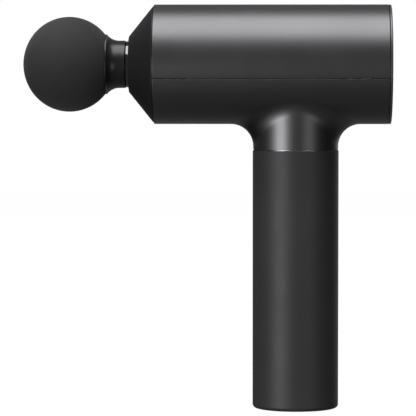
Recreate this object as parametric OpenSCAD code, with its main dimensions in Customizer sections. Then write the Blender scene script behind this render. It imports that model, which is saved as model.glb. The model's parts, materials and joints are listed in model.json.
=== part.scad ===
// Percussion massage gun. A round barrel with a tapered nose lies across the top of a round
// handle, and stands on the handle's foot. The origin is the centre of the foot, +Z runs up the
// handle, and -X points out of the nose. A flat outrunner motor stands in the root of the handle
// and turns a crank, whose rod drives a plunger along the barrel. The ball head plugs into the
// plunger. The rear cap holds the button, its board and the ring of lights.

/* [Barrel] */
// Outside diameter of the barrel
barrel_d = 60; // [59.8:0.1:61]
// Wall of the barrel's shells
barrel_wall = 2.6; // [2.4:0.1:2.6]
// Length of the barrel's shells, from the nose to the rear cap
barrel_l = 117.5; // [117.5:0.5:121]
// Height of the barrel's axis over the foot
axis_h = 173; // [173:0.5:178]
// How far the seam between the two shells lies below the barrel's axis
seam_drop = 7.2; // [6.5:0.1:8]
// Width of a seam between two shells
seam_gap = 0.24; // [0.1:0.02:0.4]

/* [Nose] */
// Length of the nose, from the barrel's front edge to its flat face
nose_l = 12.7; // [12.4:0.1:13.2]
// Diameter of the nose's flat face
nose_face_d = 29.2; // [28.6:0.2:30]

/* [Handle] */
// Outside diameter of the grip sleeve
grip_d = 43.2; // [43.2:0.1:46]
// Height of the grip sleeve
grip_h = 130; // [129:0.5:131]
// Radius of the rounded bottom edge of the grip
foot_round = 2; // [1:0.25:2.5]
// Radius of the fillet between the handle's root and the barrel
root_fillet = 11.2; // [9:0.2:12]

/* [Head] */
// Diameter of the ball across its axis
ball_d = 47.7; // [44:0.1:52]
// Length of the ball along its axis, before its back is cut flat
ball_l = 46.4; // [44:0.2:52]
// Diameter of the lip behind the ball
lip_d = 30; // [28:0.5:31]
// Diameter of the neck behind the lip
neck_d = 23.8; // [23.4:0.1:24.4]

/* [Drive] */
// Travel of the plunger
stroke = 12; // [8:0.5:12]
// Distance between the rod's two bores
rod_l = 36; // [36:0.5:38]
// Diameter of the plunger
plunger_d = 23.2; // [22:0.1:23.2]
// Diameter of the socket that takes the head's stem
socket_d = 15.8; // [15:0.1:16.2]
// Depth of the socket
socket_depth = 32.5; // [30:0.5:33]

/* [Rear cap] */
// Diameter of the button
button_d = 18; // [14:0.5:22]
// Travel of the button
button_travel = 0.6; // [0.3:0.1:0.6]
// Diameter of the ring of lights, at the middle of its width
light_d = 41.2; // [38:0.2:44]

/* [Hidden] */
$fn = 96;

fit = 0.05;                                    // radial clearance of a sliding or turning fit
barrel_r = barrel_d / 2;
bore_r = barrel_r - barrel_wall;
split_z = axis_h - seam_drop;                  // height of the seam between the shells
shell_rear_x = 46.4;
shell_front_x = shell_rear_x - barrel_l;
nose_x = shell_front_x - nose_l;               // the nose's flat face
cap_x = shell_rear_x + 1.8;                    // the rear cap's highest point
grip_r = grip_d / 2;
neck_root_r = grip_r - 0.24;                   // the handle's root, a little inside the grip
core_r = grip_r - 1.8;                         // the handle's core tube
core_bore_r = core_r - 1.2;
core_top = grip_h + 11;
socket_wall_r = core_r + 0.2;
root_bore_r = core_r - 0.9;

plunger_r = plunger_d / 2;
plunger_front_x = nose_x - 1.6;                // at rest the plunger is at the back of its travel
crank_r = stroke / 2;
wrist_x = crank_r - rod_l;
plunger_rear_x = wrist_x + 6;
clevis_front_x = wrist_x - 15;
slot_half = 4.3;                               // half the height of the slot that takes the rod
socket_end_x = plunger_front_x + socket_depth;
guide_front_x = nose_x + 5.9;
guide_rear_x = guide_front_x + 38;
guide_r = plunger_r + 3.7;
bush_r = plunger_r + 1.2;
bush_l = 12;

// Heights in the drive, counted from the barrel's axis
deck_top = -9.2;
deck_t = 3;
deck_low = deck_top - deck_t;
mount_low = deck_low - 2.2;
disc_top = -3.6;
disc_low = -8.6;
disc_r = 15.5;
can_r = 17;
can_low = -24.6;
hub_low = -26.2;
shaft_r = 2.5;
upper_bearing = -12;
lower_bearing = -21;
frame_front_x = -61;
frame_rear_x = 23.5;
web_y = 17;
web_t = 2;
ear_y = 20.4;
ear_xs = [-52, 14];
ear_r = 2.6;
pillar_top = mount_low + 0.2;                  // the shell's pillars, under the frame's ears
screw_low = -16.6;
screw_head_r = 2.3;
ring_r = 24.5;                                 // the frame's front flange and rear ring

control_x = 29.4;
control_r = 24;
board_t = 1.6;
panel_x = 39.6;
panel_r = 24.8;
post_r = 15;                                   // radius of the circle of posts in the rear cap
post_angles = [90, 210, 330];
light_angles = [0:30:330];

cell_r = 9.1;
cell_l = 65;
cell_pitch = 18.3;
cell_low = 12.7;
cell_gap = 1;
cell_zs = [cell_low, cell_low + cell_l + cell_gap];
charge_z = 9.2;
foot_cap_r = 17.5;
foot_angles = [60, 180, 300];                  // the foot cap's posts and their screws
foot_post_r = 13;
port_x = 8;                                    // the charging port, behind the foot's centre

// Points on an arc about c, from angle a0 to a1
function arc(c, r, a0, a1, n = 6) =
    [for (i = [0:n]) let (a = a0 + (a1 - a0) * i / n) c + r * [cos(a), sin(a)]];

// Turns a profile of [radius, x] points about the barrel's axis
module about_barrel() {
    translate([0, 0, axis_h]) rotate([0, 90, 0]) rotate_extrude() children();
}

module x_tube(x0, x1, outer, inner) {
    about_barrel() polygon([[inner, x0], [outer, x0], [outer, x1], [inner, x1]]);
}

module x_rod(x0, x1, r, y = 0, z = 0) {
    translate([x0, y, axis_h + z]) rotate([0, 90, 0]) cylinder(h = x1 - x0, r = r);
}

// A cylinder between two heights, and one between two heights over the barrel's axis
module z_rod(z0, z1, r, x = 0, y = 0) {
    translate([x, y, z0]) cylinder(h = z1 - z0, r = r);
}

module d_rod(z0, z1, r, x = 0, y = 0) {
    z_rod(axis_h + z0, axis_h + z1, r, x, y);
}

module z_tube(z0, z1, outer, inner, x = 0, y = 0) {
    translate([x, y, z0]) rotate_extrude()
        polygon([[inner, 0], [outer, 0], [outer, z1 - z0], [inner, z1 - z0]]);
}

module d_tube(z0, z1, outer, inner, x = 0, y = 0) {
    z_tube(axis_h + z0, axis_h + z1, outer, inner, x, y);
}

// A block from corner a to corner b, and one with its heights over the barrel's axis
module block(a, b) {
    translate(a) cube(b - a);
}

module d_block(a, b) {
    block(a + [0, 0, axis_h], b + [0, 0, axis_h]);
}

module both_sides() {
    children();
    mirror([0, 1, 0]) children();
}

// Round wires: a tube of eight sides swept along a list of points, smoothed between them
function bend(p, i, t) =
    let (n = len(p) - 1, a = p[max(i - 1, 0)], b = p[i], c = p[min(i + 1, n)], d = p[min(i + 2, n)])
    0.5 * ((2 * b) + (c - a) * t + (2 * a - 5 * b + 4 * c - d) * t * t
        + (3 * b - a - 3 * c + d) * t * t * t);
function smooth(p, steps) = concat(
    [for (i = [0:len(p) - 2], k = [0:steps - 1]) bend(p, i, k / steps)], [p[len(p) - 1]]);
function unit(v) = v / norm(v);
function along(q, i) = unit(q[min(i + 1, len(q) - 1)] - q[max(i - 1, 0)]);

module wire(p, r, steps = 3) {
    q = smooth(p, steps);
    m = len(q);
    sides = 8;
    rings = [for (i = [0:m - 1])
        let (t = along(q, i), u = unit(cross(t, [0, 1, 0.001])), v = cross(t, u))
        for (k = [0:sides - 1]) q[i] + r * (cos(360 * k / sides) * u + sin(360 * k / sides) * v)];
    walls = [for (i = [0:m - 2], k = [0:sides - 1]) let (l = (k + 1) % sides, a = i * sides, b = a + sides)
        each [[a + k, b + l, a + l], [a + k, b + k, b + l]]];
    first = [[for (k = [0:sides - 1]) k]];
    last = [[for (k = [sides - 1:-1:0]) (m - 1) * sides + k]];
    polyhedron(points = rings, faces = concat(walls, first, last));
}

// ---- Shells ----------------------------------------------------------------------------

module upper_shell() {
    color([0.14, 0.14, 0.15]) difference() {
        x_tube(shell_front_x, shell_rear_x, barrel_r, bore_r);
        block([-100, -40, split_z - 60 + seam_gap / 2], [60, 40, split_z + seam_gap / 2]);
    }
}

// A ball of the fillet's radius rolls in the corner between the handle's root and the barrel.
// This gives its centre at angle a round the root, with both surfaces drawn in by sink.
sink = 0.05;
function roll_centre(a) =
    let (x = (neck_root_r - sink + root_fillet) * cos(a), y = (neck_root_r - sink + root_fillet) * sin(a))
    [x, y, axis_h - sqrt(pow(barrel_r - sink + root_fillet, 2) - y * y)];
// One section of the fillet: the ball's arc from the root to the barrel, closed inside both
function fillet_section(a, n) =
    let (c = roll_centre(a),
        to_root = unit([-c[0], -c[1], 0]),
        to_barrel = unit([0, -c[1], axis_h - c[2]]),
        turn = acos(to_root * to_barrel),
        deep_r = neck_root_r - 1,
        deep = [deep_r * cos(a), deep_r * sin(a),
            axis_h - sqrt(pow(barrel_r - 1, 2) - pow(deep_r * sin(a), 2))])
    concat([deep, c + (root_fillet + 1) * to_root],
        [for (k = [0:n]) c + root_fillet
            * (sin(turn * (1 - k / n)) * to_root + sin(turn * k / n) * to_barrel) / sin(turn)],
        [c + (root_fillet + 1) * to_barrel]);

module root_blend(turns = 48, n = 5) {
    size = n + 4;
    points = [for (i = [0:turns - 1]) each fillet_section(360 * (i + 0.5) / turns, n)];
    faces = [for (i = [0:turns - 1], k = [0:size - 1])
        let (j = (i + 1) % turns, l = (k + 1) % size)
        each [[i * size + k, j * size + l, j * size + k], [i * size + k, i * size + l, j * size + l]]];
    polyhedron(points = points, faces = faces);
}

tab_xs = [-45, -10, 31];
module snap_tabs() {
    for (x = tab_xs) intersection() {
        union() {
            x_tube(x, x + 7, bore_r - 0.1, bore_r - 1.5);
            intersection() {
                x_tube(x, x + 7, bore_r + 0.8, bore_r - 1.5);
                block([x - 1, -40, axis_h - 30], [x + 8, 40, split_z - seam_gap / 2 - 0.01]);
            }
        }
        block([x - 1, -40, split_z - 5], [x + 8, 40, split_z + 4]);
    }
}

// The lower shell runs down into the root of the handle, where the core tube plugs in
module lower_shell() {
    color([0.12, 0.12, 0.13]) {
        difference() {
            union() {
                difference() {
                    x_rod(shell_front_x, shell_rear_x, barrel_r);
                    block([-100, -40, split_z - seam_gap / 2], [60, 40, split_z + 60]);
                }
                z_rod(grip_h + 0.2, axis_h - 15, neck_root_r);
                root_blend();
            }
            x_rod(shell_front_x - 1, shell_rear_x + 1, bore_r);
            z_rod(grip_h, core_top + 0.2, socket_wall_r);
            z_rod(core_top + 0.1, axis_h - 10, root_bore_r);
        }
        for (x = ear_xs) both_sides() difference() {
            intersection() {
                d_rod(-26, pillar_top, ear_r, x, ear_y);
                x_rod(x - 4, x + 4, bore_r + 0.6);
            }
            d_rod(screw_low - 0.2, 0, 1.25, x, ear_y);
        }
        snap_tabs();
    }
}

// The nose is a cone between two small rounds, and its rim stands a little inside the shells
seal_r = 14;
cone_turn = -51;
module nose_cone() {
    face_round = 0.9;
    rim_round = 0.5;
    rim_r = barrel_r - 0.9;
    rear_x = shell_front_x - seam_gap;
    step_x = rear_x - 1.2;
    inner_r = bore_r - 2.2;
    color([0.09, 0.09, 0.09]) about_barrel() polygon(concat(
        [[plunger_r + 0.6, nose_x]],
        arc([nose_face_d / 2 - face_round, nose_x + face_round], face_round, -90, cone_turn, 4),
        arc([rim_r - rim_round, rear_x - 0.1], rim_round, cone_turn, 0, 4),
        [[rim_r, rear_x], [bore_r - 0.1, rear_x], [bore_r - 0.1, rear_x + 5], [inner_r, rear_x + 5],
        [inner_r, step_x], [seal_r + 2.9, nose_x + 4.7], [seal_r, nose_x + 4.7],
        [seal_r, nose_x + 1.7], [plunger_r + 0.6, nose_x + 1.7]]));
}

module nose_seal() {
    color([0.2, 0.2, 0.2]) x_tube(nose_x + 1.7, nose_x + 4.7, seal_r, plunger_r + 0.1);
}

module rear_cap() {
    rim_x = shell_rear_x + seam_gap;
    spigot_x = shell_rear_x - 4.9;
    face_x = cap_x - 0.4;
    plate_x = cap_x - 2.6;
    inner_r = bore_r - 2.2;
    color([0.1, 0.1, 0.1]) difference() {
        union() {
            about_barrel() polygon(concat(
                [[bore_r - 0.1, spigot_x], [bore_r - 0.1, rim_x], [barrel_r, rim_x]],
                arc([barrel_r - 1, face_x - 1], 1, 0, 90),
                [[light_d / 2, cap_x - 0.1], [button_d / 2 + 0.35, cap_x],
                [button_d / 2 + 0.35, plate_x], [inner_r, plate_x], [inner_r, spigot_x]]));
            for (a = post_angles)
                x_rod(panel_x + board_t, plate_x + 0.5, 2.2, post_r * cos(a), post_r * sin(a));
        }
        x_tube(cap_x - 1.4, cap_x + 1, light_d / 2 + 0.7, light_d / 2 - 0.7);
        for (a = light_angles)
            x_rod(plate_x - 1, cap_x - 1, 0.9, light_d / 2 * cos(a), light_d / 2 * sin(a));
        for (a = post_angles)
            x_rod(panel_x, panel_x + 5, 0.9, post_r * cos(a), post_r * sin(a));
    }
}

module light_ring() {
    color([0.85, 0.87, 0.88]) x_tube(cap_x - 1.35, cap_x - 0.1, light_d / 2 + 0.65, light_d / 2 - 0.65);
}

// ---- Handle ----------------------------------------------------------------------------

module handle_core() {
    color([0.6, 0.6, 0.62]) z_tube(1.2, core_top, core_r, core_bore_r);
}

module grip_sleeve() {
    inner = core_r + fit;
    color([0.11, 0.11, 0.11]) rotate_extrude() polygon(concat(
        [[foot_cap_r + 0.1, 0]], arc([grip_r - foot_round, foot_round], foot_round, -90, 0),
        [[grip_r, grip_h], [inner, grip_h], [inner, 1.1], [foot_cap_r + 0.1, 1.1]]));
}

// The charging port's outline: a slot with round ends, long across the handle
module port_outline(w, t) {
    for (s = [-1, 1]) translate([0, s * (w - t) / 2]) circle(d = t);
    square([t, w - t], center = true);
}

module base_cap() {
    color([0.1, 0.1, 0.1]) difference() {
        union() {
            z_rod(0, 1.2, foot_cap_r);
            z_tube(1.2, 7, core_bore_r - fit, core_bore_r - 2);
            z_rod(1.2, 2.2, core_bore_r - fit);
            for (a = foot_angles) z_rod(1, charge_z, 2.4, foot_post_r * cos(a), foot_post_r * sin(a));
        }
        translate([port_x, 0, -1]) linear_extrude(5) port_outline(9.5, 3.7);
        for (a = foot_angles) z_rod(charge_z - 6, charge_z + 1, 0.9, foot_post_r * cos(a), foot_post_r * sin(a));
    }
}

module usb_port() {
    color([0.75, 0.75, 0.77]) translate([port_x, 0, 0.8]) {
        difference() {
            linear_extrude(charge_z - 0.8) port_outline(9, 3.2);
            translate([0, 0, -1]) linear_extrude(charge_z - 1.6) port_outline(8.4, 2.6);
        }
        translate([-0.35, -3.3, 0.6]) cube([0.7, 6.6, charge_z - 2]);
    }
}

module charge_board() {
    color([0.05, 0.25, 0.12]) {
        difference() {
            z_rod(charge_z, charge_z + board_t, 17);
            for (a = foot_angles) z_rod(charge_z - 1, charge_z + 3, 1.2, foot_post_r * cos(a), foot_post_r * sin(a));
        }
        block([-6, -5, charge_z + board_t], [-1, 0, charge_z + board_t + 1]);
        block([2, 1, charge_z + board_t], [8, 7, charge_z + board_t + 1.2]);
    }
}

module charge_screws() {
    color([0.7, 0.7, 0.72]) for (a = foot_angles) {
        z_rod(charge_z - 5, charge_z + board_t, 0.88, foot_post_r * cos(a), foot_post_r * sin(a));
        difference() {
            z_rod(charge_z + board_t, charge_z + board_t + 1.2, 1.8, foot_post_r * cos(a), foot_post_r * sin(a));
            z_rod(charge_z + board_t + 0.5, charge_z + 5, 0.8, foot_post_r * cos(a), foot_post_r * sin(a), $fn = 6);
        }
    }
}

lead_y = -14.6;                                // the gap beside the cells where the leads run
battery_board_z = [24, 73];
module charge_leads() {
    color([0.6, 0.1, 0.1]) for (s = [-1, 1]) wire([
        [s * 1.5, -11, charge_z + board_t], [s * 1.5, -11.2, 12.5], [s * 1.5, -13.4, 16],
        [s * 1.5, lead_y, 20], [s * 1.5, lead_y, battery_board_z[0] + 3]], 0.7);
}

module battery_cells() {
    color([0.15, 0.35, 0.6]) for (s = [-1, 1], z = cell_zs)
        translate([s * cell_pitch / 2, 0, z]) rotate_extrude()
            polygon([[0, 0], [cell_r - 0.4, 0], [cell_r, 0.4], [cell_r, cell_l - 1.4],
                [cell_r - 0.5, cell_l - 0.8], [3.2, cell_l - 0.8], [3, cell_l], [0, cell_l]]);
}

// Each holder is a pair of crescents that clamp the cells between them
module cell_holders() {
    color([0.9, 0.9, 0.88]) for (z = [cell_low + 4, cell_low + cell_l - 2, cell_zs[1] + cell_l - 9])
        difference() {
            z_rod(z, z + 5, core_bore_r - 0.2);
            for (s = [-1, 1]) z_rod(z - 1, z + 6, cell_r + fit, s * cell_pitch / 2);
            block([-30, -5, z - 1], [30, 5, z + 6]);
            block([-3.4, -30, z - 1], [3.4, -12.6, z + 6]);
        }
}

module cell_strips() {
    color([0.8, 0.8, 0.78]) {
        for (z = [cell_low - 0.3, cell_zs[1] + cell_l + 0.02])
            block([-cell_pitch / 2 - 4, -3.5, z], [cell_pitch / 2 + 4, 3.5, z + 0.26]);
        for (s = [-1, 1]) {
            z = cell_low + cell_l + 0.3;
            block([s * cell_pitch / 2 - 4, -3.5, z], [s * cell_pitch / 2 + 4, 3.5, z + 0.3]);
        }
    }
}

module battery_board() {
    z0 = battery_board_z[0];
    z1 = battery_board_z[1];
    color([0.05, 0.25, 0.12]) {
        block([-6, -13.6, z0], [6, -12.4, z1]);
        block([-4, -14.7, z0 + 12], [4, -13.6, z0 + 18]);
        for (k = [0:1]) block([-4.5 + 5 * k, -14.6, z0 + 24], [-0.5 + 5 * k, -13.6, z0 + 29]);
    }
}

module battery_leads() {
    color([0.7, 0.1, 0.1]) {
        wire([[-1.5, lead_y, 66], [-1.5, lead_y, 90], [-1.5, lead_y, 115], [-1.5, lead_y, 136],
            [-0.5, -12, 142.5], [3, -6, 145.4], [8.5, -1, 145.4], [14, 1.8, 146],
            [19, 3, 148.5], [22.5, 3, 150.8], [control_x - 3, 3, 152.5]], 0.7, 2);
        wire([[1.5, lead_y, 66], [1.5, lead_y, 90], [1.5, lead_y, 115], [1.5, lead_y, 136],
            [3, -13, 142.5], [7.5, -8.8, 145.4], [12, -5.2, 145.6], [16, -3.6, 146.2],
            [19.3, -3, 148.6], [22.5, -3, 150.8], [control_x - 3, -3, 152.5]], 0.7, 2);
    }
}

// ---- Drive -----------------------------------------------------------------------------

// One casting: the plunger's guide tube, a flange and a ring for the dampers, a deck that
// carries the motor under the crank, and a web on each side that ties them together
mount_angles = [45, 135, 225, 315];
mount_pitch_r = 12;
column_angles = [40, 140, 220, 320];
column_r = 21.2;
module drive_frame() {
    color([0.62, 0.63, 0.65]) difference() {
        union() {
            x_tube(guide_front_x, guide_rear_x, guide_r, bush_r);
            x_tube(frame_front_x - 2, frame_front_x + 2, ring_r, guide_r - 1);
            x_tube(frame_rear_x - 1.5, frame_rear_x + 1.5, ring_r, web_y + 0.5);
            d_block([frame_front_x, -web_y - web_t, deck_low], [frame_rear_x, web_y + web_t, deck_top]);
            both_sides() {
                d_block([frame_front_x, web_y, deck_low + 1], [frame_rear_x, web_y + web_t, 6]);
                for (x = ear_xs) {
                    d_rod(deck_low, deck_top, ear_r, x, ear_y);
                    d_block([x - ear_r, web_y + 1, deck_low], [x + ear_r, ear_y, deck_top]);
                }
            }
            for (a = column_angles)
                x_rod(frame_rear_x, control_x, 2.2, column_r * cos(a), column_r * sin(a));
        }
        x_rod(guide_front_x - 1, plunger_rear_x + 1.5, bush_r);
        d_rod(deck_low - 1, deck_top + 1, 7.1);
        for (a = mount_angles) {
            d_rod(deck_low - 1, deck_top + 1, 1.3, mount_pitch_r * cos(a), mount_pitch_r * sin(a));
            d_rod(deck_top - 1.5, deck_top + 1, 2.3, mount_pitch_r * cos(a), mount_pitch_r * sin(a));
        }
        for (x = ear_xs) both_sides() {
            d_rod(deck_low - 1, deck_top + 1, 1.5, x, ear_y);
            d_rod(deck_top, deck_top + 2.1, screw_head_r + 0.2, x, ear_y);
        }
        for (a = column_angles)
            x_rod(control_x - 5, control_x + 1, 0.9, column_r * cos(a), column_r * sin(a));
        d_block([frame_rear_x - 3, -6, -28], [frame_rear_x + 3, 6, deck_low - 0.01]);
    }
}

module guide_bushes() {
    color([0.75, 0.6, 0.3]) for (x = [guide_front_x, guide_rear_x - bush_l])
        x_tube(x, x + bush_l - 0.5, bush_r, plunger_r + fit);
}

module front_damper() {
    color([0.15, 0.15, 0.16])
        x_tube(frame_front_x - 2.3, frame_front_x + 2.3, bore_r - fit, ring_r);
}

module rear_damper() {
    color([0.15, 0.15, 0.16])
        x_tube(frame_rear_x - 2, frame_rear_x + 2, bore_r - fit, ring_r);
}

module frame_grommets() {
    color([0.15, 0.15, 0.16]) for (x = ear_xs, s = [-1, 1])
        d_tube(pillar_top, deck_low, ear_r, 1.3, x, s * ear_y);
}

module frame_screws() {
    color([0.7, 0.7, 0.72]) for (x = ear_xs, s = [-1, 1]) {
        d_rod(screw_low, deck_top, 1.23, x, s * ear_y);
        difference() {
            d_rod(deck_top, deck_top + 1.8, screw_head_r, x, s * ear_y);
            d_rod(deck_top + 0.8, deck_top + 3, 1.2, x, s * ear_y, $fn = 6);
        }
    }
}

// A bearing's ring, race-side groove cut for balls of radius ball on a pitch circle
module bearing_ring(z, outer, inner, h, pitch, ball) {
    translate([0, 0, axis_h + z]) rotate_extrude() difference() {
        translate([inner, -h / 2]) square([outer - inner, h]);
        translate([pitch, 0]) circle(r = ball + 0.03);
    }
}

module ball_ring(z, pitch, ball, count) {
    for (k = [0:count - 1]) translate([0, 0, axis_h + z]) rotate(360 * (k + 0.5) / count)
        translate([pitch, 0, 0]) sphere(r = ball);
}

motor_pitch = 4;
motor_ball = 0.8;
motor_balls = 8;
motor_bearings = [upper_bearing, lower_bearing];

// The motor's fixed half: a plate under the deck and a tube that holds both bearings
module motor_mount() {
    color([0.66, 0.66, 0.68]) difference() {
        union() {
            d_rod(mount_low, deck_low, 16.5);
            d_rod(lower_bearing - 2, upper_bearing + 2, 7);
        }
        for (z = motor_bearings) d_rod(z - 2.01, z + 2.01, 5.5);
        d_rod(lower_bearing - 3, upper_bearing + 3, 4.7);
        for (a = mount_angles)
            d_rod(mount_low - 1, deck_low + 1, 1.2, mount_pitch_r * cos(a), mount_pitch_r * sin(a));
        d_block([9.5, -4, mount_low - 1], [20, 4, deck_low - 0.4]);
    }
}

module motor_screws() {
    color([0.7, 0.7, 0.72]) for (a = mount_angles) {
        x = mount_pitch_r * cos(a);
        y = mount_pitch_r * sin(a);
        d_rod(mount_low + 0.2, deck_top - 1.5, 1.18, x, y);
        difference() {
            d_rod(deck_top - 1.5, deck_top - 0.1, 2.2, x, y);
            d_rod(deck_top - 0.8, deck_top + 1, 1, x, y, $fn = 6);
        }
    }
}

module bearing_outer_rings() {
    color([0.8, 0.8, 0.82]) for (z = motor_bearings)
        bearing_ring(z, 5.5, 4.6, 4, motor_pitch, motor_ball);
}

module bearing_inner_rings() {
    color([0.8, 0.8, 0.82]) for (z = motor_bearings)
        bearing_ring(z, 3.4, shaft_r, 4, motor_pitch, motor_ball);
}

module bearing_balls() {
    color([0.85, 0.85, 0.87]) for (z = motor_bearings) ball_ring(z, motor_pitch, motor_ball, motor_balls);
}

module ball_cages() {
    color([0.7, 0.6, 0.35]) for (z = motor_bearings) difference() {
        d_tube(z + 0.2, z + 1.5, motor_pitch + 0.4, motor_pitch - 0.4);
        ball_ring(z, motor_pitch, motor_ball + 0.02, motor_balls);
    }
}

teeth = 12;
module stator_core() {
    color([0.45, 0.45, 0.47]) translate([0, 0, axis_h - 21.5]) linear_extrude(6) {
        difference() {
            circle(r = 9.4);
            circle(r = 7);
        }
        for (k = [0:teeth - 1]) rotate(360 * k / teeth) translate([9.2, -0.9]) square([3.8, 1.8]);
        difference() {
            circle(r = 13.7);
            circle(r = 12.6);
            for (k = [0:teeth - 1]) rotate(360 * (k + 0.5) / teeth)
                translate([12, -0.7]) square([3, 1.4]);
        }
    }
}

module stator_coils() {
    color([0.72, 0.4, 0.2]) for (k = [0:teeth - 1]) rotate(360 * k / teeth)
        translate([9.75, 0, axis_h]) difference() {
            translate([0, -2.2, -22.7]) cube([2.6, 4.4, 8.1]);
            translate([-1, -0.92, -21.52]) cube([5, 1.84, 6.04]);
        }
}

magnets = 14;
module rotor_magnets() {
    color([0.3, 0.3, 0.32]) translate([0, 0, axis_h - 22]) linear_extrude(7) difference() {
        circle(r = 15.6);
        circle(r = 14.1);
        for (k = [0:magnets - 1]) rotate(360 * k / magnets) translate([13, -0.4]) square([4, 0.8]);
    }
}

module rotor_can() {
    color([0.35, 0.35, 0.37]) difference() {
        union() {
            d_tube(can_low, mount_low - 0.5, can_r, 15.6);
            d_rod(can_low, can_low + 1, can_r);
            d_rod(hub_low, can_low + 1, 5);
        }
        d_rod(hub_low - 1, can_low + 2, shaft_r);
        for (a = [0:60:300]) d_rod(can_low - 1, can_low + 2, 3, 10 * cos(a), 10 * sin(a));
    }
}

module motor_shaft() {
    color([0.8, 0.8, 0.82]) d_rod(hub_low, disc_top - 0.2, shaft_r);
}

// The crank's pin side is drilled out, so that the solid side balances the rod and plunger
module crank_disc() {
    color([0.55, 0.55, 0.57]) difference() {
        d_rod(disc_low, disc_top, disc_r);
        d_rod(disc_low - 1, disc_top + 1, shaft_r);
        d_rod(disc_low - 1, disc_top + 1, 2, crank_r);
        for (s = [-1, 1]) d_rod(disc_low - 1, disc_top + 1, 3.6, 6.2, s * 9.2);
        x_rod(-20, 0, 1.5, 0, (disc_low + disc_top) / 2);
    }
}

module crank_grub_screw() {
    color([0.2, 0.2, 0.2]) difference() {
        x_rod(-8, -shaft_r - 0.02, 1.47, 0, (disc_low + disc_top) / 2);
        x_rod(-9, -6.5, 0.8, 0, (disc_low + disc_top) / 2, $fn = 6);
    }
}

big_end_r = 10.2;
module con_rod() {
    color([0.5, 0.5, 0.52]) difference() {
        union() {
            d_rod(-3, 3, big_end_r, crank_r);
            d_rod(-3, 3, 6.6, wrist_x);
            d_block([wrist_x, -4, -3], [crank_r, 4, 3]);
        }
        d_rod(-4, 4, 8, crank_r);
        d_rod(-4, 4, 4.2, wrist_x);
        for (s = [-1, 1]) d_block([wrist_x + 7.5, -2.4, s * 3 - 1.2], [crank_r - 11.5, 2.4, s * 3 + 1.2]);
    }
}

rod_pitch = 6;
rod_ball = 1.05;
module rod_bearing() {
    color([0.8, 0.8, 0.82]) translate([crank_r, 0, 0]) {
        bearing_ring(0, 8, 6.7, 5, rod_pitch, rod_ball);
        bearing_ring(0, 5.3, 4, 5, rod_pitch, rod_ball);
        ball_ring(0, rod_pitch, rod_ball, 10);
    }
}

module rod_bush() {
    color([0.75, 0.6, 0.3]) d_tube(-3, 3, 4.2, 2.53, wrist_x);
}

// The shoulder screw through the rod's bearing stops just over the crank's face
module crank_pin() {
    color([0.7, 0.7, 0.72]) difference() {
        union() {
            d_rod(disc_top + 0.2, 2.6, 4, crank_r);
            d_rod(2.6, 4.8, 5.6, crank_r);
        }
        d_rod(3.2, 6, 2.3, crank_r, $fn = 6);
    }
}

module plunger() {
    color([0.78, 0.79, 0.8]) difference() {
        about_barrel() polygon([[socket_d / 2 + 0.6, plunger_front_x], [plunger_r - 0.4, plunger_front_x],
            [plunger_r, plunger_front_x + 0.4], [plunger_r, plunger_rear_x - 1],
            [plunger_r - 1, plunger_rear_x], [0, plunger_rear_x], [0, socket_end_x],
            [socket_d / 2, socket_end_x], [socket_d / 2, plunger_front_x + 0.6]]);
        d_block([clevis_front_x, -20, -slot_half], [plunger_rear_x + 1, 20, slot_half]);
        d_rod(-20, 20, 2.5, wrist_x);
        both_ends() d_rod(8.4, 20, 3.8, wrist_x);
    }
}

// Repeats a shape above the barrel's axis in its place below
module both_ends() {
    children();
    translate([0, 0, 2 * axis_h]) mirror([0, 0, 1]) children();
}

module wrist_pin() {
    color([0.8, 0.8, 0.82]) d_rod(-9.8, 9.8, 2.5, wrist_x);
}

module pin_clips() {
    color([0.3, 0.3, 0.3]) both_ends() difference() {
        d_tube(8.6, 9.3, 3.7, 2.5, wrist_x);
        d_block([wrist_x + 1.5, -0.8, 8], [wrist_x + 5, 0.8, 10]);
    }
}

// ---- Head ------------------------------------------------------------------------------

lip_x = plunger_front_x - 10.1;                // the front face of the lip, which the ball meets
lip_t = 0.8;
ball_x = lip_x - 18.3;                         // the ball's centre
anchor_r = 9.5;
anchor_front_x = lip_x - 15;

// The ball is a little shorter along the barrel than it is wide, and is cut flat at the lip
module foam_ball() {
    half_l = ball_l / 2;
    cut_a = acos(-(lip_x - 0.02 - ball_x) / half_l);
    color([0.13, 0.13, 0.13]) about_barrel() polygon(concat(
        [for (k = [0:30]) let (a = cut_a * k / 30) [ball_d / 2 * sin(a), ball_x - half_l * cos(a)]],
        [[anchor_r + 0.02, lip_x - 0.02], [anchor_r + 0.02, anchor_front_x - 0.02],
        [0, anchor_front_x - 0.02]]));
}

module head_stem() {
    flare_r = 8;
    neck_r = neck_d / 2;
    stem_r = socket_d / 2 - 0.15;
    drop = lip_d / 2 - 0.3 - neck_r;
    start = acos((flare_r - drop) / flare_r);
    flare_x = lip_x + lip_t + flare_r * sin(start);
    color([0.1, 0.1, 0.1]) difference() {
        about_barrel() polygon(concat(
            [[0, anchor_front_x], [anchor_r - 1, anchor_front_x], [anchor_r, anchor_front_x + 1],
            [anchor_r, lip_x], [lip_d / 2 - 0.2, lip_x], [lip_d / 2, lip_x + 0.2],
            [lip_d / 2, lip_x + lip_t - 0.1], [lip_d / 2 - 0.2, lip_x + lip_t]],
            [for (k = [0:8]) let (a = start * (1 - k / 8))
                [neck_r + flare_r * (1 - cos(a)), flare_x - flare_r * sin(a)]],
            [[neck_r, plunger_front_x - 0.5], [neck_r - 0.4, plunger_front_x - 0.05],
            [stem_r, plunger_front_x - 0.05], [stem_r, socket_end_x - 2.5],
            [stem_r - 1.2, socket_end_x - 1], [0, socket_end_x - 1]]));
        for (x = ring_xs) x_tube(x - 1, x + 1, stem_r + 1, ring_pitch_r - ring_section_r - 0.02);
    }
}

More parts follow.
